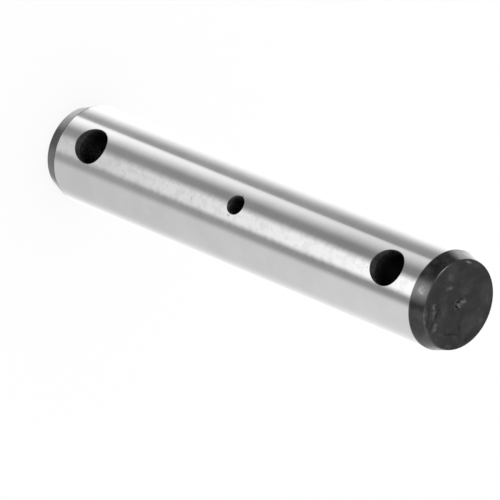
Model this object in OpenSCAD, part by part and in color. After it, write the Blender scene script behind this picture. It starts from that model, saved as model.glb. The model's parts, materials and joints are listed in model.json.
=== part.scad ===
// A leaf spring pin: one turned steel bar, ground on its outside, with a lead-in
// taper at each end and three holes drilled across it through its axis.
// Millimetres. The pin stands on its lower end face at z = 0, with its axis on Z.
// The three holes run along Y, and both mouths of each are countersunk.

/* [Shank] */
// Ground diameter of the shank
pin_d = 30; // [20:0.5:60]
// Length over both end faces
pin_l = 166; // [110:1:300]

/* [Ends] */
// Length of the lead-in taper at each end, along the axis
taper_l = 4.8; // [2:0.1:10]
// Step in radius from the shank down to the end face's rim
taper_drop = 1.5; // [0.5:0.1:3]
// Radius that rounds the rim of the end face
rim_r = 0.6; // [0.1:0.1:1.2]
// Radius that blends the taper into the shank
shoulder_r = 1.5; // [0.2:0.1:4]
// Diameter of the turning centre left in each end face
centre_d = 3; // [1:0.2:6]
// Depth of the turning centre at its point
centre_depth = 1.8; // [0.3:0.1:4]

/* [Cross holes] */
// Diameter of the two large holes, one near each end
end_hole_d = 10.5; // [5:0.5:16]
// Distance from an end face to the axis of the large hole next to it
end_hole_inset = 18; // [14:0.5:30]
// How far a large hole's mouth is countersunk beyond the hole's own radius
end_mouth_reach = 0.9; // [0.1:0.05:2]
// Diameter of the small hole
mid_hole_d = 5.3; // [2:0.1:12]
// Height of the small hole's axis above or below mid length
mid_hole_shift = 0; // [-10:0.5:10]
// How far the small hole's mouth is countersunk beyond the hole's own radius
mid_mouth_reach = 0.5; // [0.1:0.05:2]
// Included angle of all the countersinks
mouth_angle = 60; // [45:5:120]

/* [Hidden] */

pin_r = pin_d / 2;
rim_corner_r = pin_r - taper_drop;
mid_hole_z = pin_l / 2 + mid_hole_shift;
// How fast a countersink widens along the hole
mouth_slope = tan(mouth_angle / 2);
// How far each drill and countersink passes beyond the shank on both sides
drill_over = 1;
// Straight steps in each rounded corner of the turned profile
corner_steps = 5;
$fn = 128;

// A vector made one unit long
function unit(v) = v / norm(v);

// The angle turned from a to b the short way round, between -180 and 180
function short_turn(a, b) = (b - a + 540) % 360 - 180;

// An arc of radius r that rounds the corner between the lines to before and to after
function rounded(before, corner, after, r) =
    let (
        to_before = unit(before - corner),
        to_after = unit(after - corner),
        half = acos(to_before * to_after) / 2,
        centre = corner + unit(to_before + to_after) * r / sin(half),
        start = corner + to_before * r / tan(half) - centre,
        finish = corner + to_after * r / tan(half) - centre,
        first = atan2(start[1], start[0]),
        turn = short_turn(first, atan2(finish[1], finish[0]))
    )
    [
        for (i = [0:corner_steps])
        let (a = first + turn * i / corner_steps)
        centre + r * [cos(a), sin(a)]
    ];

// Radius and height along one end, from the turning centre out to the shank
function end_profile() =
    let (
        point = [0, centre_depth],
        lip = [centre_d / 2, 0],
        rim = [rim_corner_r, 0],
        shoulder = [pin_r, taper_l],
        shank = [pin_r, pin_l / 2]
    )
    concat(
        [point, lip],
        rounded(lip, rim, shoulder, rim_r),
        rounded(rim, shoulder, shank, shoulder_r)
    );

// The same end turned over, from the shank in to the turning centre at the top
function far_end_profile() =
    let (lower = end_profile(), last = len(lower) - 1)
    [for (i = [last:-1:0]) [lower[i][0], pin_l - lower[i][1]]];

// The bar as it leaves the lathe and the grinder
module turned_bar() {
    rotate_extrude()
        polygon(concat(end_profile(), far_end_profile()));
}

// The cone that widens one mouth of a hole of radius r, by reach at the crest of the shank
module countersink(r, reach) {
    depth = reach / mouth_slope;
    height = depth + drill_over;
    translate([0, 0, pin_r - depth])
        cylinder(h = height, r1 = r, r2 = r + height * mouth_slope);
}

// A drill that passes square through the pin's axis at height z, and its two countersinks
module cross_drill(d, reach, z) {
    translate([0, 0, z])
        rotate([90, 0, 0]) {
            cylinder(h = pin_d + 2 * drill_over, d = d, center = true);
            countersink(d / 2, reach);
            rotate([180, 0, 0])
                countersink(d / 2, reach);
        }
}

module spring_pin() {
    color([0.74, 0.75, 0.74])
        difference() {
            turned_bar();
            cross_drill(end_hole_d, end_mouth_reach, end_hole_inset);
            cross_drill(mid_hole_d, mid_mouth_reach, mid_hole_z);
            cross_drill(end_hole_d, end_mouth_reach, pin_l - end_hole_inset);
        }
}

spring_pin();
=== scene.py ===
"""Leaf spring pin: a ground steel bar with black ends and three cross holes, on a white studio floor.

The file is laid out as an add-on and is run as a script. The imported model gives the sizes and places.
"""

import json
import math

import bpy
from bpy.props import FloatProperty, FloatVectorProperty, IntProperty, PointerProperty
from mathutils import Matrix, Vector


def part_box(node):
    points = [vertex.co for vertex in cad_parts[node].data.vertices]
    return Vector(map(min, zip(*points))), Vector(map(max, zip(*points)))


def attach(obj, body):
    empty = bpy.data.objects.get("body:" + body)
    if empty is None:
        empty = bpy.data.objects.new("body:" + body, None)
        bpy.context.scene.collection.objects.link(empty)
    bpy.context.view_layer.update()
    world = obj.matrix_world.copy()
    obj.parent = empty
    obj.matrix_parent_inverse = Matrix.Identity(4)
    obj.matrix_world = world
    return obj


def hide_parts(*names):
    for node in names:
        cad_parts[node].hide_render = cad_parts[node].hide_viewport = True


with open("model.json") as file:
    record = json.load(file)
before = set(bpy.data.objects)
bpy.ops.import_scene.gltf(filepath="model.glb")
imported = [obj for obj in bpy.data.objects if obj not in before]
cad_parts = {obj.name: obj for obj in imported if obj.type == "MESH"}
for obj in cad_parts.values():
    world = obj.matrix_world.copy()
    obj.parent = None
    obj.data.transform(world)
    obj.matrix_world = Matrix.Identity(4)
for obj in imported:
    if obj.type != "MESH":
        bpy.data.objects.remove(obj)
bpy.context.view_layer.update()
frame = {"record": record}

bl_info = {
    "name": "Leaf Spring Pin",
    "version": (1, 0, 0),
    "blender": (4, 5, 0),
    "location": "View3D > Sidebar > Spring Pin",
    "description": "Builds a ground leaf spring pin with black ends, and a studio around it",
    "category": "Add Mesh",
}

NODE = "spring_pin"
MM = 0.001

NODE_LOW, NODE_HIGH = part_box(NODE)
MOUNTS = {mount["name"]: mount for mount in frame["record"]["mounts"]}
CROSS_HOLES = ("lower_cross_hole", "mid_hole", "upper_cross_hole")

# Material slots of the mesh
STEEL = 0
BLACK = 1
BORE = 2

# Options that several properties share
FACTOR = {"min": 0.0, "max": 1.0, "subtype": "FACTOR"}
COLOUR = {"min": 0.0, "max": 1.0, "subtype": "COLOR"}


class PinSizes(bpy.types.PropertyGroup):
    """Sizes of the pin's own mesh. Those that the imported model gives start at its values."""

    radius: FloatProperty(
        name="Shank radius", description="Ground outside radius",
        default=MOUNTS["shank"]["dims"]["r_mm"] * MM, unit="LENGTH",
    )
    bottom: FloatProperty(
        name="Bottom", description="Height of the lower end face",
        default=NODE_LOW.z, unit="LENGTH",
    )
    top: FloatProperty(
        name="Top", description="Height of the upper end face",
        default=NODE_HIGH.z, unit="LENGTH",
    )
    taper_length: FloatProperty(
        name="Taper length", description="Length of the lead-in taper at each end, along the axis",
        default=4.8 * MM, unit="LENGTH",
    )
    taper_drop: FloatProperty(
        name="Taper drop", description="Step in radius from the shank down to the rim of the end face",
        default=1.5 * MM, unit="LENGTH",
    )
    rim_radius: FloatProperty(
        name="Rim radius", description="Radius that rounds the rim of the end face",
        default=0.6 * MM, unit="LENGTH",
    )
    shoulder_radius: FloatProperty(
        name="Shoulder radius", description="Radius that blends the taper into the shank",
        default=1.5 * MM, unit="LENGTH",
    )
    centre_radius: FloatProperty(
        name="Centre radius", description="Radius of the turning centre in each end face",
        default=1.5 * MM, unit="LENGTH",
    )
    centre_depth: FloatProperty(
        name="Centre depth", description="Depth of the turning centre at its point",
        default=1.8 * MM, unit="LENGTH",
    )
    mouth_angle: FloatProperty(
        name="Mouth angle", description="Included angle of the countersinks",
        default=math.radians(60), subtype="ANGLE",
    )
    mouth_break: FloatProperty(
        name="Mouth break", description="Width of the rounded edge between the shank and a countersink",
        default=0.12 * MM, unit="LENGTH",
    )
    columns: IntProperty(
        name="Columns", description="Faces round the shank; a multiple of four",
        default=240, min=48,
    )


class Finish(bpy.types.PropertyGroup):
    """Colours and roughness of the three surfaces."""

    steel_colour: FloatVectorProperty(
        name="Ground steel", description="Reflected colour of the ground shank",
        default=(0.74, 0.745, 0.74), **COLOUR,
    )
    steel_roughness: FloatProperty(
        name="Ground roughness", description="Mean roughness of the ground shank",
        default=0.13, **FACTOR,
    )
    black_colour: FloatVectorProperty(
        name="Black skin", description="Colour of the heat-treated skin on the ends and the holes' edges",
        default=(0.011, 0.011, 0.0115), **COLOUR,
    )
    black_roughness: FloatProperty(
        name="Black roughness", description="Mean roughness of the black skin",
        default=0.2, **FACTOR,
    )
    bore_colour: FloatVectorProperty(
        name="Bore skin", description="Colour of the dull scale in the holes, at their mouths",
        default=(0.026, 0.026, 0.026), **COLOUR,
    )
    bore_roughness: FloatProperty(
        name="Bore roughness", description="Mean roughness of the dull scale in the holes",
        default=0.4, **FACTOR,
    )


class Studio(bpy.types.PropertyGroup):
    """Where the camera stands, and how the floor shows."""

    view_azimuth: FloatProperty(
        name="View azimuth", description="Direction from the pin to the camera, turned from +X towards +Y",
        default=math.radians(-81.96), subtype="ANGLE",
    )
    view_elevation: FloatProperty(
        name="View elevation", description="Height of the camera above the horizon, seen from the pin",
        default=math.radians(44.23), subtype="ANGLE",
    )
    view_roll: FloatProperty(
        name="View roll", description="Turn about the line of sight, which lays the pin across the picture",
        default=math.radians(112.57), subtype="ANGLE",
    )
    distance: FloatProperty(
        name="Distance", description="Distance from the camera to the aim point",
        default=2248.3 * MM, unit="LENGTH",
    )
    aim: FloatVectorProperty(
        name="Aim point", description="Point at the middle of the picture",
        default=(8.51 * MM, 0.22 * MM, 82.0 * MM), subtype="XYZ",
    )
    lens: FloatProperty(
        name="Lens", description="Focal length in millimetres on a 36 mm sensor",
        default=554.7,
    )
    floor_size: FloatProperty(
        name="Floor size", description="Side of the square floor",
        default=6.0, unit="LENGTH",
    )
    floor_shadow: FloatProperty(
        name="Floor shadow", description="Share of the floor's look that real light and shadow make",
        default=0.12, **FACTOR,
    )


# Where the scene keeps each group of settings
SETTINGS = {"pin_sizes": PinSizes, "pin_finish": Finish, "pin_studio": Studio}


class PinSurface:
    """Collects rings of points with their true normals, and the faces between them."""

    def __init__(self):
        self.points = []
        self.normals = []
        self.faces = []
        self.materials = []

    def point(self, place, normal):
        self.points.append(Vector(place))
        self.normals.append(Vector(normal).normalized())
        return len(self.points) - 1

    def face(self, corners, material):
        """Adds a face, turned so that it looks the way its points' normals do."""
        corners = list(dict.fromkeys(corners))
        if len(corners) < 3:
            return
        places = [self.points[i] for i in corners]
        across = (places[2] - places[0]).cross(places[-1] - places[1])
        if len(corners) == 3:
            across = (places[1] - places[0]).cross(places[2] - places[0])
        outward = sum((self.normals[i] for i in corners), Vector())
        if across.dot(outward) < 0:
            corners.reverse()
        self.faces.append(corners)
        self.materials.append(material)

    def bridge(self, ring_a, ring_b, material):
        """Joins two closed rings of equal length with quads."""
        count = len(ring_a)
        for i in range(count):
            j = (i + 1) % count
            self.face((ring_a[i], ring_a[j], ring_b[j], ring_b[i]), material)

    def grow(self, ring, fresh, material):
        """Makes a ring from pairs of place and normal, joins it to the last ring and returns it."""
        fresh_ring = [self.point(place, normal) for place, normal in fresh]
        self.bridge(ring, fresh_ring, material)
        return fresh_ring

    def fan(self, ring, centre, material):
        """Closes a ring with triangles to one point."""
        count = len(ring)
        for i in range(count):
            self.face((ring[i], ring[(i + 1) % count], centre), material)

    def mesh(self, name):
        """Makes the Blender mesh, smooth, with the true normals."""
        mesh = bpy.data.meshes.new(name)
        mesh.from_pydata([tuple(p) for p in self.points], [], self.faces)
        mesh.polygons.foreach_set("material_index", self.materials)
        mesh.polygons.foreach_set("use_smooth", [True] * len(self.faces))
        mesh.update()
        mesh.normals_split_custom_set_from_vertices([tuple(n) for n in self.normals])
        return mesh


def upright(height):
    """A vector along the pin's axis."""
    return Vector((0.0, 0.0, height))


def ways_round(count):
    """Unit vectors at equal steps round the pin's axis."""
    angles = [2 * math.pi * i / count for i in range(count)]
    return [Vector((math.cos(angle), math.sin(angle), 0.0)) for angle in angles]


def rounded_corner(before, corner, after, radius, steps):
    """Points and normals of an arc that rounds a corner of the turned profile, outside on the left."""
    before, corner, after = Vector(before), Vector(corner), Vector(after)
    back = (before - corner).normalized()
    ahead = (after - corner).normalized()
    half = back.angle(ahead) / 2
    centre = corner + (back + ahead).normalized() * radius / math.sin(half)
    start = corner + back * radius / math.tan(half) - centre
    finish = corner + ahead * radius / math.tan(half) - centre
    turn = start.angle(finish)
    ring = []
    for i in range(steps + 1):
        share = i / steps
        way = (start * math.sin((1 - share) * turn) + finish * math.sin(share * turn)) / math.sin(turn)
        ring.append((centre + way, way.normalized()))
    return ring


# Rows of faces along each part of an end
SHOULDER_STEPS = 3
TAPER_ROWS = 6
RIM_STEPS = 6
FACE_ROWS = 14
LIP_STEPS = 4
# Half width of the turning centre's rounded lip, and the size of its last ring, as shares of its radius
LIP_BREAK = 0.25
LAST_RING = 0.2


def end_profile(sizes):
    """Radius and depth, and normal, along one end: from the shank over the taper to the turning centre.

    Depth is counted from the end face into the pin.
    """
    shank = (sizes.radius, sizes.taper_length * 2)
    shoulder = (sizes.radius, sizes.taper_length)
    rim = (sizes.radius - sizes.taper_drop, 0.0)
    lip = (sizes.centre_radius, 0.0)
    path = rounded_corner(shank, shoulder, rim, sizes.shoulder_radius, SHOULDER_STEPS)
    rim_arc = rounded_corner(shoulder, rim, lip, sizes.rim_radius, RIM_STEPS)
    taper_start, taper_normal = path[-1]
    taper_end = rim_arc[0][0]
    for i in range(1, TAPER_ROWS):
        path.append((taper_start.lerp(taper_end, i / TAPER_ROWS), taper_normal))
    path += rim_arc
    lip_break = sizes.centre_radius * LIP_BREAK
    face_start = rim_arc[-1][0].x
    face_stop = sizes.centre_radius + lip_break
    face_normal = Vector((0.0, -1.0))
    for i in range(1, FACE_ROWS):
        reach = face_start + (face_stop - face_start) * i / FACE_ROWS
        path.append((Vector((reach, 0.0)), face_normal))
    cone_normal = Vector((-sizes.centre_depth, -sizes.centre_radius)).normalized()
    for i in range(LIP_STEPS + 1):
        share = i / LIP_STEPS
        reach = sizes.centre_radius + lip_break * (1 - 2 * share)
        sink = share * share * lip_break * sizes.centre_depth / sizes.centre_radius
        path.append((Vector((reach, sink)), face_normal.lerp(cone_normal, share).normalized()))
    last = Vector((sizes.centre_radius * LAST_RING, sizes.centre_depth * (1 - LAST_RING)))
    path.append((last, cone_normal))
    return path


def shank_ends(sizes):
    """Heights between which the shank is straight."""
    slope = math.atan2(sizes.taper_drop, sizes.taper_length)
    blend = sizes.taper_length + sizes.shoulder_radius * math.tan(slope / 2)
    return sizes.bottom + blend, sizes.top - blend


def row_heights(sizes, holes, step):
    """Heights of the shank's rows, so that a row lies on the edge of every hole's patch."""
    low, shank_top = shank_ends(sizes)
    heights = [low]
    stretches = []
    for hole in holes:
        edge_low = hole.height - hole.reach
        edge_high = hole.height + hole.reach
        stretches.append((low, edge_low, step))
        stretches.append((edge_low, edge_high, hole.step))
        low = edge_high
    stretches.append((low, shank_top, step))
    for start, stop, size in stretches:
        count = max(1, round((stop - start) / size))
        heights += [start + (stop - start) * i / count for i in range(1, count + 1)]
    return heights


# Width of shank round a hole's mouth that is meshed to fit the mouth
PATCH_MARGIN = 1.8 * MM
# Times that the rim's reach is worked out again from its own fall
RIM_PASSES = 6


class CrossHole:
    """One hole across the pin, with a countersink at both mouths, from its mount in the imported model."""

    def __init__(self, name, sizes):
        mount = MOUNTS[name]
        column = 2 * math.pi / sizes.columns
        self.height = mount["pos_m"][2]
        self.radius = mount["dims"]["r_mm"] * MM
        self.shank = sizes.radius
        self.slope = math.tan(sizes.mouth_angle / 2)
        self.sink = sizes.radius - mount["dims"]["length_mm"] * MM / 2
        self.mouth = self.radius + self.sink * self.slope
        self.reach = self.mouth + PATCH_MARGIN
        self.half_columns = math.ceil(math.asin(self.reach / sizes.radius) / column)
        self.step = column * sizes.radius

    def rim(self, turn):
        """Where the countersink meets the shank at an angle round the hole: across and up, seen along it."""
        reach = self.mouth
        for _ in range(RIM_PASSES):
            across = reach * math.sin(turn)
            fall = self.shank - math.sqrt(self.shank ** 2 - across ** 2)
            reach = max(self.mouth - self.slope * fall, self.radius)
        return reach * math.sin(turn), reach * math.cos(turn)

    def unrolled_rim(self, turn):
        """The same point with its distance across measured along the shank's surface."""
        across, up = self.rim(turn)
        return Vector((self.shank * math.asin(across / self.shank), up))


def shank_rings(surface, sizes, heights):
    """Lays the shank's grid of points, one ring a height."""
    ways = ways_round(sizes.columns)
    rings = []
    for height in heights:
        rings.append([surface.point(way * sizes.radius + upright(height), way) for way in ways])
    return rings


def patch_edge(half_columns, low_row, high_row):
    """Steps round a patch's edge as (column step, row), anticlockwise from its lower left corner."""
    edge = [(c, low_row) for c in range(-half_columns, half_columns)]
    edge += [(half_columns, r) for r in range(low_row, high_row)]
    edge += [(c, high_row) for c in range(half_columns, -half_columns, -1)]
    edge += [(-half_columns, r) for r in range(high_row, low_row, -1)]
    return edge


def nearest_row(heights, height):
    return min(range(len(heights)), key=lambda row: abs(heights[row] - height))


# Rows of faces round a mouth: on the shank's patch, on the mouth's break and down the countersink
PATCH_ROWS = 8
BREAK_STEPS = 3
SINK_ROWS = 4
# Small turn, in radians, over which the rim's direction is measured
RIM_NUDGE = 0.01
# Half the width of the soft edge between a countersink and the straight wall
WALL_EDGE_HALF = 0.04 * MM


def mouth(surface, sizes, heights, rings, hole, side):
    """Fills one patch of the shank round a hole, and makes the rim and the countersink.

    side is -1 for the mouth at -Y and 1 for the one at +Y. Returns the ring where the straight wall begins.
    """
    low_row = nearest_row(heights, hole.height - hole.reach)
    high_row = nearest_row(heights, hole.height + hole.reach)
    middle = sizes.columns * (3 if side < 0 else 1) // 4
    column = 2 * math.pi / sizes.columns * sizes.radius
    width = hole.half_columns * column
    edge = patch_edge(hole.half_columns, low_row, high_row)
    # The column step is mirrored on the far side, so that both mouths' rings match point for point.
    ring = [rings[r][(middle - side * c) % sizes.columns] for c, r in edge]
    starts = [Vector((c * column, heights[r] - hole.height)) for c, r in edge]
    turns = [math.atan2(start.x / width, start.y / hole.reach) for start in starts]
    radials = [Vector((math.sin(t), 0.0, math.cos(t))) for t in turns]

    def on_shank(place):
        """Point and normal on the shank, from a place on its unrolled surface about the hole's middle."""
        angle = place.x / sizes.radius
        way = Vector((math.sin(angle), side * math.cos(angle), 0.0))
        return way * sizes.radius + upright(hole.height + place.y), way

    corners = [hole.unrolled_rim(t) for t in turns]
    outs = []
    for t in turns:
        along = hole.unrolled_rim(t + RIM_NUDGE) - hole.unrolled_rim(t - RIM_NUDGE)
        outs.append(Vector((-along.y, along.x)).normalized())
    for k in range(1, PATCH_ROWS + 1):
        share = math.sin(k / PATCH_ROWS * math.pi / 2)
        fresh = []
        for start, corner, out in zip(starts, corners, outs):
            stop = corner + out * sizes.mouth_break
            fresh.append(on_shank(start.lerp(stop, share)))
        ring = surface.grow(ring, fresh, STEEL)

    into = Vector((0.0, -side, 0.0))
    for k in range(1, BREAK_STEPS + 1):
        share = k / BREAK_STEPS
        fresh = []
        for radial, corner, out in zip(radials, corners, outs):
            tip, way = on_shank(corner)
            outer, _ = on_shank(corner + out * sizes.mouth_break)
            down = (into - radial * hole.slope).normalized()
            inner = tip + down * sizes.mouth_break
            place = outer.lerp(tip, share).lerp(tip.lerp(inner, share), share)
            cone = (-radial - into * hole.slope).normalized()
            fresh.append((place, way.lerp(cone, share)))
        ring = surface.grow(ring, fresh, BLACK)

    wall_start = hole.shank - hole.sink
    tops = [surface.points[i].copy() for i in ring]
    for k in range(1, SINK_ROWS + 1):
        share = k / SINK_ROWS
        fresh = []
        for radial, top in zip(radials, tops):
            foot = radial * (hole.radius + WALL_EDGE_HALF * hole.slope)
            foot += Vector((0.0, side * (wall_start + WALL_EDGE_HALF), hole.height))
            fresh.append((top.lerp(foot, share), -radial - into * hole.slope))
        ring = surface.grow(ring, fresh, BORE)
    below = Vector((0.0, side * (wall_start - WALL_EDGE_HALF), hole.height))
    fresh = [(radial * hole.radius + below, -radial) for radial in radials]
    return surface.grow(ring, fresh, BORE), (low_row, high_row, middle)


# Rows of faces along a hole's straight wall
WALL_ROWS = 16


def hole_wall(surface, near_ring, far_ring, hole):
    """Joins a hole's two mouths with its straight wall."""
    ring = near_ring
    for k in range(1, WALL_ROWS):
        fresh = []
        for a, b in zip(near_ring, far_ring):
            place = surface.points[a].lerp(surface.points[b], k / WALL_ROWS)
            fresh.append((place, (-place.x, 0.0, hole.height - place.z)))
        ring = surface.grow(ring, fresh, BORE)
    surface.bridge(ring, far_ring, BORE)


def end_rings(surface, sizes, start_ring, upper):
    """Turns one end: shoulder, taper, rim, face and turning centre, onwards from the shank's last ring."""
    face_height = sizes.top if upper else sizes.bottom
    into = -1.0 if upper else 1.0
    ways = ways_round(sizes.columns)
    ring = start_ring
    for place, normal in end_profile(sizes)[1:]:
        height = upright(face_height + into * place.y)
        tilt = upright(into * normal.y)
        fresh = [(way * place.x + height, way * normal.x + tilt) for way in ways]
        ring = surface.grow(ring, fresh, BLACK)
    tip = upright(face_height + into * sizes.centre_depth)
    surface.fan(ring, surface.point(tip, upright(-into)), BLACK)


# Height of a row of faces on the shank, away from the holes
SHANK_STEP = 1.5 * MM


def pin_surface(sizes):
    """The whole closed skin of the pin."""
    surface = PinSurface()
    holes = [CrossHole(name, sizes) for name in CROSS_HOLES]
    heights = row_heights(sizes, holes, SHANK_STEP)
    rings = shank_rings(surface, sizes, heights)
    cut = set()
    for hole in holes:
        mouths = []
        for side in (-1, 1):
            ring, (low_row, high_row, middle) = mouth(surface, sizes, heights, rings, hole, side)
            mouths.append(ring)
            for row in range(low_row, high_row):
                for c in range(-hole.half_columns, hole.half_columns):
                    cut.add((row, (middle + c) % sizes.columns))
        hole_wall(surface, mouths[0], mouths[1], hole)
    for row in range(len(rings) - 1):
        for c in range(sizes.columns):
            if (row, c) in cut:
                continue
            d = (c + 1) % sizes.columns
            surface.face((rings[row][c], rings[row][d], rings[row + 1][d], rings[row + 1][c]), STEEL)
    end_rings(surface, sizes, rings[0], False)
    end_rings(surface, sizes, rings[-1], True)
    return surface


def set_inputs(tree, made, values):
    """Sets a node's inputs. Each value is a number, a vector or a colour, or an output socket to link."""
    for key, value in values.items():
        if isinstance(value, bpy.types.NodeSocket):
            tree.links.new(value, made.inputs[key])
        else:
            made.inputs[key].default_value = value


def node(tree, kind, inputs=None, **settings):
    """A shader node with its settings and inputs."""
    made = tree.nodes.new(kind)
    for key, value in settings.items():
        setattr(made, key, value)
    set_inputs(tree, made, inputs or {})
    return made


def maths(tree, operation, *values, clamp=False):
    """A Math node; each value is a number or an output socket."""
    made = node(tree, "ShaderNodeMath", dict(enumerate(values)), operation=operation, use_clamp=clamp)
    return made.outputs[0]


def vectors(tree, operation, *values, output="Vector"):
    """A Vector Math node; each value is a vector or an output socket."""
    made = node(tree, "ShaderNodeVectorMath", dict(enumerate(values)), operation=operation)
    return made.outputs[output]


def times(tree, vector, factor):
    """A vector made longer or shorter by a factor."""
    made = node(tree, "ShaderNodeVectorMath", {0: vector, "Scale": factor}, operation="SCALE")
    return made.outputs[0]


def separated(tree, vector):
    """The X, Y and Z of a vector."""
    return node(tree, "ShaderNodeSeparateXYZ", {0: vector}).outputs


def joined(tree, x, y, z):
    """A vector from its X, Y and Z."""
    return node(tree, "ShaderNodeCombineXYZ", {"X": x, "Y": y, "Z": z}).outputs[0]


def map_range(tree, value, low, high, to_low=0.0, to_high=1.0, smooth=True):
    """Maps a value between two limits, with soft ends."""
    inputs = {"Value": value, "From Min": low, "From Max": high, "To Min": to_low, "To Max": to_high}
    ends = "SMOOTHSTEP" if smooth else "LINEAR"
    return node(tree, "ShaderNodeMapRange", inputs, interpolation_type=ends).outputs["Result"]


def new_group(name, output, inputs, output_kind="NodeSocketFloat"):
    """A shader node group with one output. An input without a default is a vector.

    Returns its tree, the sockets that come in and its output node.
    """
    tree = bpy.data.node_groups.new(name, "ShaderNodeTree")
    for label, default in inputs.items():
        kind = "NodeSocketVector" if default is None else "NodeSocketFloat"
        socket = tree.interface.new_socket(label, in_out="INPUT", socket_type=kind)
        if default is not None:
            socket.default_value = default
    tree.interface.new_socket(output, in_out="OUTPUT", socket_type=output_kind)
    given = tree.nodes.new("NodeGroupInput").outputs
    return tree, given, tree.nodes.new("NodeGroupOutput")


def turning_lines_group():
    """Fine lines round the pin's axis, as a grinding wheel or a lathe leaves them: a height from 0 to 1."""
    inputs = {"Place": None, "Lines per metre": 4000.0, "Waviness per metre": 30.0}
    tree, given, result = new_group("Turning Lines", "Height", inputs)
    waves = given["Waviness per metre"]
    stretch = joined(tree, waves, waves, given["Lines per metre"])
    stretched = vectors(tree, "MULTIPLY", given["Place"], stretch)
    noise_values = {"Vector": stretched, "Scale": 1.0, "Detail": 3.0, "Roughness": 0.6}
    noise = node(tree, "ShaderNodeTexNoise", noise_values)
    tree.links.new(noise.outputs["Fac"], result.inputs["Height"])
    return tree


def mottle_group():
    """Soft uneven patches over the surface: a mask from 0 to 1."""
    inputs = {"Place": None, "Patches per metre": 200.0, "Low": 0.35, "High": 0.65}
    tree, given, result = new_group("Mottle", "Mask", inputs)
    noise = node(
        tree,
        "ShaderNodeTexNoise",
        {"Vector": given["Place"], "Scale": given["Patches per metre"], "Detail": 4.0, "Roughness": 0.55},
    )
    mask = map_range(tree, noise.outputs["Fac"], given["Low"], given["High"])
    tree.links.new(mask, result.inputs["Mask"])
    return tree


# Where a speck begins and where it is full, in shares of its size
SPECK_FADE = (1.0, 0.4)


def specks_group():
    """Small scattered spots, as pits and handling marks leave them: a mask from 0 to 1."""
    inputs = {"Place": None, "Cells per metre": 300.0, "Size": 0.12, "Share of cells": 0.15}
    tree, given, result = new_group("Specks", "Mask", inputs)
    cell_values = {"Vector": given["Place"], "Scale": given["Cells per metre"], "Randomness": 1.0}
    cells = node(tree, "ShaderNodeTexVoronoi", cell_values)
    near = maths(tree, "DIVIDE", cells.outputs["Distance"], given["Size"])
    spot = map_range(tree, near, *SPECK_FADE)
    pick = node(tree, "ShaderNodeSeparateColor", {0: cells.outputs["Color"]})
    chosen = maths(tree, "LESS_THAN", pick.outputs[0], given["Share of cells"])
    tree.links.new(maths(tree, "MULTIPLY", spot, chosen), result.inputs["Mask"])
    return tree


# Where a mark begins and where it is full, in shares of its half width
MARK_FADE = (1.5, 0.1)
# Keeps a mark of no length from dividing by zero
SMALLEST_LENGTH = 1e-12


def mark_group():
    """One scuff, nick, scratch, painted highlight or patch of painted shade: a mask of 1 on a line between
    two points, fading over its half width.
    """
    inputs = {"Place": None, "Start": None, "End": None, "Half width": 0.4 * MM}
    tree, given, result = new_group("Mark", "Mask", inputs)
    away = vectors(tree, "SUBTRACT", given["Place"], given["Start"])
    line = vectors(tree, "SUBTRACT", given["End"], given["Start"])
    along = vectors(tree, "DOT_PRODUCT", away, line, output="Value")
    whole = vectors(tree, "DOT_PRODUCT", line, line, output="Value")
    share = maths(tree, "DIVIDE", along, maths(tree, "ADD", whole, SMALLEST_LENGTH), clamp=True)
    gap = vectors(tree, "DISTANCE", away, times(tree, line, share), output="Value")
    near = maths(tree, "DIVIDE", gap, given["Half width"])
    tree.links.new(map_range(tree, near, *MARK_FADE), result.inputs["Mask"])
    return tree


def uneven_place_group():
    """The place with a small uneven shift, which roughens the outline of every mark."""
    inputs = {"Place": None, "Bumps per metre": 1000.0, "Reach": MM}
    tree, given, result = new_group("Uneven Place", "Shifted", inputs, "NodeSocketVector")
    noise_values = {"Vector": given["Place"], "Scale": given["Bumps per metre"], "Detail": 2.0}
    noise = node(tree, "ShaderNodeTexNoise", noise_values)
    centred = vectors(tree, "SUBTRACT", noise.outputs["Color"], (0.5, 0.5, 0.5))
    shifted = vectors(tree, "ADD", given["Place"], times(tree, centred, given["Reach"]))
    tree.links.new(shifted, result.inputs["Shifted"])
    return tree


def placed(tree, group, place, values, **settings):
    """Puts a node group into a material with its own values, and returns what it puts out."""
    inputs = {"Place": place, **values}
    return node(tree, "ShaderNodeGroup", inputs, node_tree=group, **settings).outputs[0]


# Azimuth in degrees of the most handled stripe, and how far towards it, in shares of the radius, the
# stripe begins and is full
WORN_AZIMUTH = -78.0
WORN_SHARE = (0.955, 0.99)


def facing_stripe(tree, place, radius, azimuth):
    """1 on the stripe of the shank that faces an azimuth, and 0 away from it."""
    way = (math.cos(azimuth), math.sin(azimuth), 0.0)
    low, high = WORN_SHARE
    toward = vectors(tree, "DOT_PRODUCT", place, way, output="Value")
    return map_range(tree, toward, low * radius, high * radius)


def along_and_out(tree, place):
    """The place with its distance from the axis added to its height.

    Lines that follow the height then run round the end faces too.
    """
    flat = vectors(tree, "MULTIPLY", place, (1.0, 1.0, 0.0))
    out = vectors(tree, "LENGTH", flat, output="Value")
    return vectors(tree, "ADD", place, joined(tree, 0.0, 0.0, out))


# Places of the colour sockets on a Mix node
MIX_FIRST = 6
MIX_SECOND = 7
MIX_RESULT = 2


def mix_colour(tree, factor, first, second):
    """A Mix node for colours; first and second are colours or output sockets."""
    inputs = {"Factor": factor}
    for key, value in ((MIX_FIRST, first), (MIX_SECOND, second)):
        inputs[key] = value if isinstance(value, bpy.types.NodeSocket) else (*value, 1.0)
    return node(tree, "ShaderNodeMix", inputs, data_type="RGBA").outputs[MIX_RESULT]


def stained(tree, under, mask, share, over):
    """Lays a colour over another, by a share of a mask."""
    return mix_colour(tree, maths(tree, "MULTIPLY", mask, share), under, over)


def scaled(colour, share):
    return tuple(channel * share for channel in colour)


def varied(tree, mask, low, high, mean):
    """A mean value and what a mask adds to it, from low to high."""
    return maths(tree, "ADD", map_range(tree, mask, 0.0, 1.0, low, high, smooth=False), mean)


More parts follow.
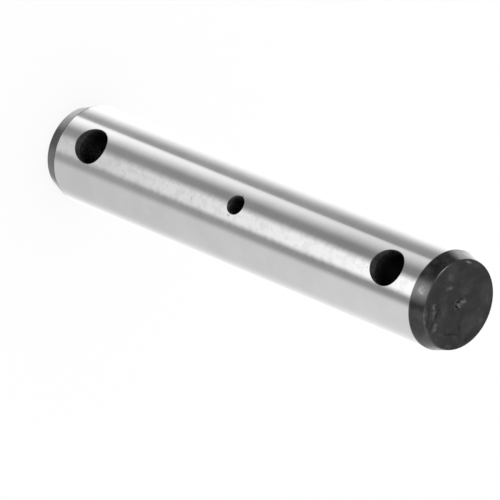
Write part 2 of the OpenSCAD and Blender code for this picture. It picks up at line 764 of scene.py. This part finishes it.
def bumped(tree, height, strength, distance):
    """The normal of a surface that a height makes uneven."""
    inputs = {"Height": height, "Strength": strength, "Distance": distance}
    return node(tree, "ShaderNodeBump", inputs).outputs[0]


def mark_mask(tree, group, place, name, start, end, half_width):
    """The mask of one named mark, in metres."""
    values = {"Start": start, "End": end, "Half width": half_width}
    return placed(tree, group, place, values, name=name)


def marked(tree, group, place, marks, colour, broken):
    """Lays marks over a colour. Each mark is (name, start, end, half width, grey), in metres.

    broken is the share of every mark that shows, which breaks it up.
    """
    for *line, grey in marks:
        mask = mark_mask(tree, group, place, *line)
        colour = stained(tree, colour, mask, broken, (grey, grey, grey))
    return colour


# How much of the shine a groove, or a patch of painted shade, takes away
GROOVE_SHADE = 0.45


def grooved_and_shaded(tree, group, place, grooves_and_shade):
    """The share of the shine that is left once each groove and each patch of painted shade has taken its
    own.
    """
    left = None
    for line in grooves_and_shade:
        mask = mark_mask(tree, group, place, *line)
        kept = maths(tree, "MULTIPLY_ADD", mask, -GROOVE_SHADE, 1.0)
        left = kept if left is None else maths(tree, "MULTIPLY", left, kept)
    return left


def empty_tree(owner):
    """The node tree of a material or a world, with nothing in it."""
    owner.use_nodes = True
    owner.node_tree.nodes.clear()
    return owner.node_tree


def new_material(name):
    """A material with its Principled shader and its object coordinates."""
    material = bpy.data.materials.new(name)
    tree = empty_tree(material)
    shader = node(tree, "ShaderNodeBsdfPrincipled")
    node(tree, "ShaderNodeOutputMaterial", {"Surface": shader.outputs[0]})
    place = node(tree, "ShaderNodeTexCoord").outputs["Object"]
    return material, tree, shader, place


# Share of the specks that shows away from the worn stripe
SPECKS_ELSEWHERE = 0.25
# How much rougher the ground lines are at their highs than at their lows
LINE_ROUGHNESS = 0.04


def ground_steel(finish, groups, sizes, marks):
    """Bright steel, ground round its axis.

    Reflections stay sharp across the lines and spread along the pin.
    """
    material, tree, shader, place = new_material("ground_steel")
    colour = tuple(finish.steel_colour)
    dark = scaled(colour, 0.4)

    mottle = placed(tree, groups["mottle"], place, {"Patches per metre": 90.0})
    blotches = placed(tree, groups["mottle"], place, {"Patches per metre": 520.0, "Low": 0.45})
    speck_values = {"Cells per metre": 520.0, "Size": 0.16, "Share of cells": 0.22}
    specks = placed(tree, groups["specks"], place, speck_values)
    stripe = facing_stripe(tree, place, sizes.radius, math.radians(WORN_AZIMUTH))
    worn_share = map_range(tree, stripe, 0.0, 1.0, SPECKS_ELSEWHERE, 1.0, smooth=False)
    specks = maths(tree, "MULTIPLY", specks, worn_share)
    dulled = maths(tree, "MULTIPLY", blotches, stripe)
    lines = placed(tree, groups["lines"], place, {"Lines per metre": 5000.0})
    tint = mix_colour(tree, mottle, scaled(colour, 0.97), scaled(colour, 1.02))
    tint = stained(tree, tint, dulled, share=0.16, over=dark)
    tint = stained(tree, tint, specks, share=0.45, over=dark)
    uneven_values = {"Bumps per metre": 900.0, "Reach": 0.6 * MM}
    rough_place = placed(tree, groups["uneven"], place, uneven_values)
    smoothest = finish.steel_roughness - LINE_ROUGHNESS / 2
    lined = maths(tree, "MULTIPLY_ADD", lines, LINE_ROUGHNESS, smoothest)
    tangent = node(tree, "ShaderNodeTangent", direction_type="RADIAL", axis="Z")
    set_inputs(tree, shader, {
        "Metallic": 1.0,
        "Anisotropic": 0.75,
        "Anisotropic Rotation": 0.25,
        "Tangent": tangent.outputs[0],
        "Base Color": marked(tree, groups["mark"], rough_place, marks, tint, broken=1.0),
        "Roughness": varied(tree, mottle, low=-0.01, high=0.015, mean=lined),
        "Normal": bumped(tree, lines, strength=0.06, distance=0.05 * MM),
    })
    return material


# Share of a mark that shows where it is most and least broken up
BROKEN = (0.35, 1.2)
# Share of the black skin's shine that only its clouds have
CLOUD_SHINE = 0.2


def black_skin(finish, groups, marks, grooves_and_shade):
    """Black heat-treated skin with faint turning lines, mottling, scuffs and the photographed marks, with
    painted glints, and painted light and shade in and by the turning centre.
    """
    material, tree, shader, place = new_material("black_skin")
    colour = tuple(finish.black_colour)

    mottle = placed(tree, groups["mottle"], place, {"Patches per metre": 420.0})
    speck_values = {"Cells per metre": 500.0, "Size": 0.2, "Share of cells": 0.14}
    specks = placed(tree, groups["specks"], place, speck_values)
    rings = along_and_out(tree, place)
    lines = placed(tree, groups["lines"], rings, {"Lines per metre": 2200.0})
    clouds = placed(tree, groups["mottle"], place, {"Patches per metre": 170.0, "Low": 0.45})
    tint = mix_colour(tree, mottle, scaled(colour, 0.7), scaled(colour, 1.6))
    tint = stained(tree, tint, clouds, share=0.45, over=scaled(colour, 2.4))
    tint = stained(tree, tint, lines, share=0.45, over=scaled(colour, 0.3))
    tint = stained(tree, tint, specks, share=0.25, over=(0.14, 0.14, 0.14))
    uneven_values = {"Bumps per metre": 1100.0, "Reach": 1.6 * MM}
    rough_place = placed(tree, groups["uneven"], place, uneven_values)
    break_values = {"Patches per metre": 1500.0, "Low": 0.4, "High": 0.6}
    breaks = placed(tree, groups["mottle"], place, break_values)
    broken = map_range(tree, breaks, 0.0, 1.0, *BROKEN, smooth=False)
    # A black metal throws back next to nothing, so the metal share takes the shine off where it is dull, and
    # as painted shade in and by the turning centre.
    shine = grooved_and_shaded(tree, groups["mark"], rough_place, grooves_and_shade)
    cloudy = maths(tree, "MULTIPLY_ADD", clouds, CLOUD_SHINE, 1 - CLOUD_SHINE)
    set_inputs(tree, shader, {
        "IOR": 2.6,
        "Specular IOR Level": 0.6,
        "Metallic": maths(tree, "SUBTRACT", 1.0, maths(tree, "MULTIPLY", shine, cloudy)),
        # Painted highlights: the glints and the light in and by the turning centre are among these marks.
        "Base Color": marked(tree, groups["mark"], rough_place, marks, tint, broken),
        "Roughness": varied(tree, mottle, low=-0.04, high=0.05, mean=finish.black_roughness),
        "Normal": bumped(tree, lines, strength=0.35, distance=0.06 * MM),
    })
    return material


# Depths below the shank between which painted shade darkens the scale in a hole, and the metal share of that
# painted shade down there
PAINTED_BORE_SHADE = (0.5 * MM, 6.0 * MM)
DEEP_SHADE_METAL = 0.75


def bore_scale(finish, groups, sizes):
    """Dull dark scale in the countersinks and on the holes' walls, with painted shade that darkens it
    further in.
    """
    material, tree, shader, place = new_material("bore_scale")
    colour = tuple(finish.bore_colour)
    across = maths(tree, "ABSOLUTE", separated(tree, place)["Y"])
    # Painted shade: a mask that grows with the depth into a hole, and darkens the colour and takes the shine
    # off there.
    dark = map_range(tree, maths(tree, "SUBTRACT", sizes.radius, across), *PAINTED_BORE_SHADE)
    mottle = placed(tree, groups["mottle"], place, {"Patches per metre": 700.0})
    tint = mix_colour(tree, mottle, scaled(colour, 0.6), scaled(colour, 1.5))
    set_inputs(tree, shader, {
        "Base Color": mix_colour(tree, dark, tint, scaled(colour, 0.4)),
        # Painted shade: as in the black skin, the metal share takes the shine off deep in a hole.
        "Metallic": maths(tree, "MULTIPLY", dark, DEEP_SHADE_METAL),
        "Roughness": varied(tree, mottle, low=-0.08, high=0.08, mean=finish.bore_roughness),
    })
    return material


# Scuffs, scratches and nicks that the photo shows on the upper end face, and painted light on it: the glints
# are painted highlights, the rim glint on a nick, and the last three rows are painted light in and by the
# turning
# centre. Each row: a name, two points in millimetres off the pin's axis, half the width in millimetres, and
# a grey.
FACE_MARKS_AND_HIGHLIGHTS = (
    # A nick by the rim with a painted glint on it
    ("rim glint", (-11.9, -3.9), (-11.5, -5.8), 0.45, 0.24),
    ("spot by the rim", (-2.6, -6.2), (-1.9, -7.2), 0.7, 0.11),
    ("pale patch", (-4.8, -7.9), (-5.2, -8.8), 0.8, 0.06),
    ("long scratch", (4.1, -9.1), (8.4, -6.1), 0.4, 0.07),
    ("scratch middle", (6.2, -7.4), (7.4, -6.6), 0.6, 0.10),
    ("start of the scratch", (4.5, -8.9), (4.9, -8.6), 0.6, 0.15),
    ("edge patch", (8.8, -4.5), (10.2, -4.2), 0.55, 0.14),
    ("short line", (3.9, -5.3), (5.1, -3.7), 0.3, 0.06),
    ("nick by the rim", (9.9, -9.0), (10.4, -9.6), 0.4, 0.07),
    ("lower nick", (7.7, -9.9), (8.1, -10.7), 0.4, 0.06),
    ("far spot", (-2.1, 7.7), (-2.1, 8.0), 0.5, 0.045),
    ("spots by the far rim", (0.5, 11.4), (0.2, 10.7), 0.5, 0.05),
    ("arc by the far rim", (-7.0, 8.4), (-5.1, 10.0), 0.35, 0.05),
    ("low patch", (8.2, 4.2), (8.9, 6.2), 0.6, 0.04),
    ("low left patch", (10.8, -2.2), (10.1, -0.4), 0.5, 0.04),
    # A painted glint by the rim
    ("bottom glint", (11.9, 3.8), (11.6, 4.9), 0.4, 0.06),
    # Painted highlights and painted light in and by the turning centre
    ("centre smear", (-1.6, 1.5), (-1.3, 0.6), 0.6, 0.15),
    ("centre glint", (-0.3, 0.6), (0.3, 0.3), 0.5, 0.05),
    ("worn lip of the centre", (1.4, -0.5), (-0.5, -1.6), 0.5, 0.05),
)
# Its dark scratches and pits, and painted shade in and by the turning centre, without a grey
FACE_GROOVES_AND_SHADE = (
    ("long groove", (4.5, -6.6), (10.8, -5.9), 0.4),
    ("groove by the scratch", (5.6, -10.4), (10.6, -7.4), 0.35),
    ("pit", (5.3, 4.4), (5.8, 4.6), 0.6),
    ("low groove", (9.5, 0.4), (7.4, 5.3), 0.3),
    ("nick by the low rim", (7.3, 9.3), (6.9, 9.9), 0.4),
    # Painted shade on the side of the turning centre that faces away from the light, and over the centre
    # itself
    ("streak by the centre", (-1.7, 0.2), (-1.3, -0.9), 0.4),
    ("streak above the centre", (-3.4, 1.4), (-2.9, 0.2), 0.35),
    ("shade in the centre", (0.2, 0.1), (0.5, 0.4), 1.2),
)
# Marks and grooves on the shank and the tapers. Each point is an azimuth in degrees, a height and how
# far in it lies from the shank's radius, both in millimetres.
SHANK_MARKS = (
    ("tick by the mid hole", (-76.4, 81.6, 0.0), (-76.0, 82.2, 0.0), 0.4, 0.5),
    ("nick by the mid hole", (-101.9, 83.9, 0.0), (-102.8, 83.6, 0.0), 0.3, 0.4),
    ("dash on the stripe", (-78.4, 65.2, 0.0), (-77.2, 65.4, 0.0), 0.35, 0.55),
    ("scale past the lower taper", (-124.0, 4.9, 0.0), (-134.0, 5.1, 0.0), 0.5, 0.38),
)
TAPER_MARKS = (
    ("taper scuff", (-80.6, 163.45, 0.7), (-77.8, 163.95, 0.85), 0.9, 0.26),
)
TAPER_GROOVES = (
    ("lower taper dent", (-132.0, 3.6, 0.4), (-136.0, 3.9, 0.3), 0.7),
    ("lower taper nick", (-136.5, 2.6, 0.7), (-140.0, 2.4, 0.75), 0.5),
    ("lower taper streak", (-130.5, 3.6, 0.37), (-136.0, 2.9, 0.6), 0.7),
)


def in_metres(rows, to_place):
    """Rows of marks with their points placed on the pin and their half widths in metres."""
    placed_rows = []
    for name, start, end, half_width, *grey in rows:
        placed_rows.append((name, to_place(*start), to_place(*end), half_width * MM, *grey))
    return placed_rows


def photographed_marks(sizes):
    """The shank's marks, the marks and painted highlights of the black ends, and each groove and patch of
    painted shade on them.
    """

    def on_face(x, y):
        return (x * MM, y * MM, sizes.top)

    def on_bar(azimuth, height, inset):
        turn = math.radians(azimuth)
        reach = sizes.radius - inset * MM
        return (reach * math.cos(turn), reach * math.sin(turn), height * MM)

    end_marks = in_metres(FACE_MARKS_AND_HIGHLIGHTS, on_face) + in_metres(TAPER_MARKS, on_bar)
    grooves_and_shade = in_metres(FACE_GROOVES_AND_SHADE, on_face) + in_metres(TAPER_GROOVES, on_bar)
    return in_metres(SHANK_MARKS, on_bar), end_marks, grooves_and_shade


class SPRINGPIN_OT_pin(bpy.types.Operator):
    """Build the pin: the ground shank with its three cross holes, and its two black ends"""

    bl_idname = "springpin.pin"
    bl_label = "Spring Pin"

    def execute(self, context):
        scene = context.scene
        sizes = scene.pin_sizes
        finish = scene.pin_finish
        mesh = pin_surface(sizes).mesh("ground_pin")
        groups = {
            "lines": turning_lines_group(),
            "mottle": mottle_group(),
            "specks": specks_group(),
            "mark": mark_group(),
            "uneven": uneven_place_group(),
        }
        shank_marks, end_marks, grooves_and_shade = photographed_marks(sizes)
        mesh.materials.append(ground_steel(finish, groups, sizes, shank_marks))
        mesh.materials.append(black_skin(finish, groups, end_marks, grooves_and_shade))
        mesh.materials.append(bore_scale(finish, groups, sizes))
        piece = bpy.data.objects.new("ground_pin", mesh)
        scene.collection.objects.link(piece)
        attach(piece, "root")
        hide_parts(NODE)
        return {"FINISHED"}


# The tent's soft boxes and flags, as the metal sees them. Each row gives a card's two edges in degrees
# from the view azimuth that Studio holds, each with the width over which it fades, and how much
# brighter than the tent it is at five heights. 1 is white, and some cards go past it.
TENT_RADIUS = 0.35
TENT_BOTTOM = -2.2
TENT_TOP = 0.62
TENT_SIDES = 96
HEIGHT_NAMES = ("Deep", "Low", "Mid", "Level", "High")
# Heights in metres between which each level fades into the next
FADES = ((-0.60, -0.45), (-0.45, -0.05), (-0.075, 0.03), (0.15, 0.25))
TENT = (0.24, 0.46, 0.30, 0.07, 0.16)
CARDS = (
    ("back left", -190, 20, -108, 40, (1.00, 0.87, 1.05, 0.00, 0.00)),
    ("back left, low", -118, 20, -90, 20, (0.00, 0.60, -0.13, 0.00, 0.00)),
    ("left foot", -130, 30, -68, 20, (0.74, 0.00, 0.00, 0.00, 0.00)),
    ("far left", -190, 20, -145, 30, (0.60, 0.60, 0.90, 1.00, 0.00)),
    ("left kick", -190, 20, -105, 20, (0.00, 0.00, 0.00, 1.40, 0.00)),
    ("left strip", -70, 4, -48, 34, (0.04, 1.17, 0.31, -0.05, 1.50)),
    ("dark flag", -38, 14, -20, 12, (0.00, -0.07, -0.06, 0.00, 0.00)),
    ("front", -12, 18, 24, 14, (0.06, -0.09, 1.39, 0.00, 0.60)),
    ("front, level", -13, 28, 20, 32, (0.00, 0.00, 0.00, 1.06, 0.00)),
    ("left kick, back", -190, 20, -129, 16, (0.00, 0.00, 0.18, 0.80, 0.00)),
    ("right wall", 45, 16, 141, 60, (0.30, 0.14, 0.60, 0.15, 0.22)),
    ("right wall, level", 101, 14, 128, 16, (0.00, 0.00, 0.00, 0.10, 0.00)),
    ("right foot", 108, 20, 148, 16, (0.17, 0.00, 0.00, 0.00, 0.00)),
    ("back right", 141, 60, 170, 20, (-0.06, 0.95, 0.74, 0.12, 0.00)),
)
# Brightness of the ceiling above the tent, for reflections
OVERHEAD = 0.25
WHITE = (1.0, 1.0, 1.0, 1.0)


def heights_group():
    """Brightness at a height, from the brightness at five heights and the share of each fade."""
    labels = (*HEIGHT_NAMES, *("To " + label for label in HEIGHT_NAMES[1:]))
    tree, given, result = new_group("Five Heights", "Light", dict.fromkeys(labels, 0.0))
    light = given[HEIGHT_NAMES[0]]
    for below, above in zip(HEIGHT_NAMES, HEIGHT_NAMES[1:]):
        step = maths(tree, "SUBTRACT", given[above], given[below])
        light = maths(tree, "MULTIPLY_ADD", step, given["To " + above], light)
    tree.links.new(light, result.inputs["Light"])
    return tree


def edges_group():
    """1 between a card's two edges and 0 outside them, by azimuth."""
    labels = ("Azimuth", "From", "From Fade", "To", "To Fade")
    tree, given, result = new_group("Card Edges", "Inside", dict.fromkeys(labels, 0.0))

    def rise(edge, fade):
        """0 before an edge and 1 after it."""
        past = maths(tree, "WRAP", maths(tree, "SUBTRACT", given["Azimuth"], given[edge]), 180.0, -180.0)
        return map_range(tree, maths(tree, "DIVIDE", past, given[fade]), -0.5, 0.5)

    before_end = maths(tree, "SUBTRACT", 1.0, rise("To", "To Fade"))
    inside = maths(tree, "MULTIPLY", rise("From", "From Fade"), before_end)
    tree.links.new(inside, result.inputs["Inside"])
    return tree


def tent_material(studio):
    """The light that the metal sees round it: the cards, by azimuth and height on the tent."""
    material = bpy.data.materials.new("light_tent")
    tree = empty_tree(material)
    apart = separated(tree, node(tree, "ShaderNodeTexCoord").outputs["Object"])
    azimuth = maths(tree, "ARCTAN2", apart["Y"], apart["X"])
    azimuth = maths(tree, "MULTIPLY_ADD", azimuth, 180 / math.pi, -math.degrees(studio.view_azimuth))
    azimuth = maths(tree, "WRAP", azimuth, 180.0, -180.0)
    fades = {}
    for label, (low, high) in zip(HEIGHT_NAMES[1:], FADES):
        fades["To " + label] = map_range(tree, apart["Z"], low, high, smooth=False)
    heights = heights_group()
    edges = edges_group()

    def at_height(name, levels):
        """One card's brightness at the height that is looked at."""
        inputs = {**dict(zip(HEIGHT_NAMES, levels)), **fades}
        return node(tree, "ShaderNodeGroup", inputs, node_tree=heights, name=name).outputs["Light"]

    light = at_height("tent", TENT)
    for name, start, start_fade, end, end_fade, levels in CARDS:
        sides = {"Azimuth": azimuth, "From": start, "From Fade": start_fade, "To": end, "To Fade": end_fade}
        inside = node(tree, "ShaderNodeGroup", sides, node_tree=edges).outputs["Inside"]
        light = maths(tree, "MULTIPLY_ADD", inside, at_height(name, levels), light)

    glow = node(tree, "ShaderNodeEmission", {"Color": light, "Strength": 1.0})
    node(tree, "ShaderNodeOutputMaterial", {"Surface": glow.outputs[0]})
    # The tent is found by the rays that the metal sends out, and throws no light of its own.
    material.cycles.emission_sampling = "NONE"
    return material


def plain_object(name, corners, faces, material):
    """An object in the scene with a mesh of its own and one material."""
    mesh = bpy.data.meshes.new(name)
    mesh.from_pydata(corners, [], faces)
    mesh.materials.append(material)
    made = bpy.data.objects.new(name, mesh)
    bpy.context.scene.collection.objects.link(made)
    return made


def light_tent(studio):
    """An upright tube round the pin, which only reflections see."""
    corners = []
    for height in (TENT_BOTTOM, TENT_TOP):
        corners += [way * TENT_RADIUS + upright(height) for way in ways_round(TENT_SIDES)]
    faces = []
    for i in range(TENT_SIDES):
        j = (i + 1) % TENT_SIDES
        faces.append((i, j, TENT_SIDES + j, TENT_SIDES + i))
    tent = plain_object("light_tent", corners, faces, tent_material(studio))
    tent.visible_camera = False
    tent.visible_diffuse = False
    tent.visible_transmission = False
    tent.visible_shadow = False
    return tent


def mix_shader(tree, factor, first, second):
    """The first shader where the factor is 0, and the second where it is 1."""
    inputs = {0: factor, 1: first.outputs[0], 2: second.outputs[0]}
    return node(tree, "ShaderNodeMixShader", inputs)


def studio_world():
    """White for the camera and for diffuse light, and the dim ceiling for reflections."""
    world = bpy.data.worlds.new("studio")
    tree = empty_tree(world)
    light_path = node(tree, "ShaderNodeLightPath").outputs
    plain = node(tree, "ShaderNodeBackground", {"Color": WHITE, "Strength": 1.0})
    mirrored = node(tree, "ShaderNodeBackground", {"Color": WHITE, "Strength": OVERHEAD})
    pick = mix_shader(tree, light_path["Is Glossy Ray"], plain, mirrored)
    node(tree, "ShaderNodeOutputWorld", {"Surface": pick.outputs[0]})
    # Rays find the world's light by themselves, so that each kind of ray sees its own part.
    world.cycles.sampling_method = "NONE"
    return world


def floor_material(studio):
    """A white floor that keeps the pin's soft shadow."""
    material = bpy.data.materials.new("white_floor")
    tree = empty_tree(material)
    lit = node(tree, "ShaderNodeBsdfDiffuse", {"Color": WHITE})
    white = node(tree, "ShaderNodeEmission", {"Color": WHITE, "Strength": 1.0})
    clear = node(tree, "ShaderNodeBsdfTransparent")
    light_path = node(tree, "ShaderNodeLightPath").outputs
    backfacing = node(tree, "ShaderNodeNewGeometry").outputs["Backfacing"]
    seen = maths(tree, "MAXIMUM", light_path["Is Camera Ray"], light_path["Is Transmission Ray"])
    # The stage hides the floor from reflections, so this input has no effect until that is undone.
    seen = maths(tree, "MAXIMUM", seen, light_path["Is Glossy Ray"])
    whitened = maths(tree, "MULTIPLY", seen, 1 - studio.floor_shadow)
    look = mix_shader(tree, whitened, lit, white)
    sided = mix_shader(tree, backfacing, look, clear)
    node(tree, "ShaderNodeOutputMaterial", {"Surface": sided.outputs[0]})
    return material


def camera_pose(studio):
    """Camera matrix from the azimuth, elevation, roll, distance and aim point."""
    azimuth, elevation = studio.view_azimuth, studio.view_elevation
    back = Vector((
        math.cos(azimuth) * math.cos(elevation),
        math.sin(azimuth) * math.cos(elevation),
        math.sin(elevation),
    ))
    level = back.to_track_quat("Z", "Y").to_matrix()
    turned = level @ Matrix.Rotation(studio.view_roll, 3, "Z")
    pose = turned.to_4x4()
    pose.translation = Vector(studio.aim) + back * studio.distance
    return pose


class SPRINGPIN_OT_studio(bpy.types.Operator):
    """Set the floor, the soft light and the camera"""

    bl_idname = "springpin.studio"
    bl_label = "Studio"

    def execute(self, context):
        scene = context.scene
        studio = scene.pin_studio
        half = studio.floor_size / 2
        level = scene.pin_sizes.bottom
        corners = [(-half, -half, level), (half, -half, level), (half, half, level), (-half, half, level)]
        floor = plain_object("floor", corners, [(0, 1, 2, 3)], floor_material(studio))
        # The metal looks past the floor to the tent that stands round and below it.
        floor.visible_glossy = False
        tent = light_tent(studio)

        scene.world = studio_world()

        camera_data = bpy.data.cameras.new("camera")
        camera_data.lens = studio.lens
        camera_data.sensor_width = 36.0
        camera_data.clip_start = 0.05
        camera_data.clip_end = 20.0
        camera = bpy.data.objects.new("camera", camera_data)
        scene.collection.objects.link(camera)
        camera.matrix_world = camera_pose(studio)
        scene.camera = camera
        scene.view_settings.view_transform = "Standard"
        return {"FINISHED"}


class SPRINGPIN_PT_panel(bpy.types.Panel):
    """Lists the pieces that can be built"""

    bl_idname = "SPRINGPIN_PT_panel"
    bl_label = "Spring Pin"
    bl_space_type = "VIEW_3D"
    bl_region_type = "UI"
    bl_category = "Spring Pin"

    def draw(self, context):
        column = self.layout.column()
        column.operator("springpin.pin")
        column.operator("springpin.studio")
        for name in SETTINGS:
            settings = getattr(context.scene, name)
            box = self.layout.box()
            for setting in settings.__annotations__:
                box.prop(settings, setting)


CLASSES = (*SETTINGS.values(), SPRINGPIN_OT_pin, SPRINGPIN_OT_studio, SPRINGPIN_PT_panel)


def register():
    for item in CLASSES:
        bpy.utils.register_class(item)
    for name, group in SETTINGS.items():
        setattr(bpy.types.Scene, name, PointerProperty(type=group))


def unregister():
    for name in SETTINGS:
        delattr(bpy.types.Scene, name)
    for item in reversed(CLASSES):
        bpy.utils.unregister_class(item)


def main():
    register()
    bpy.ops.springpin.pin()
    bpy.ops.springpin.studio()


if __name__ == "__main__":
    main()
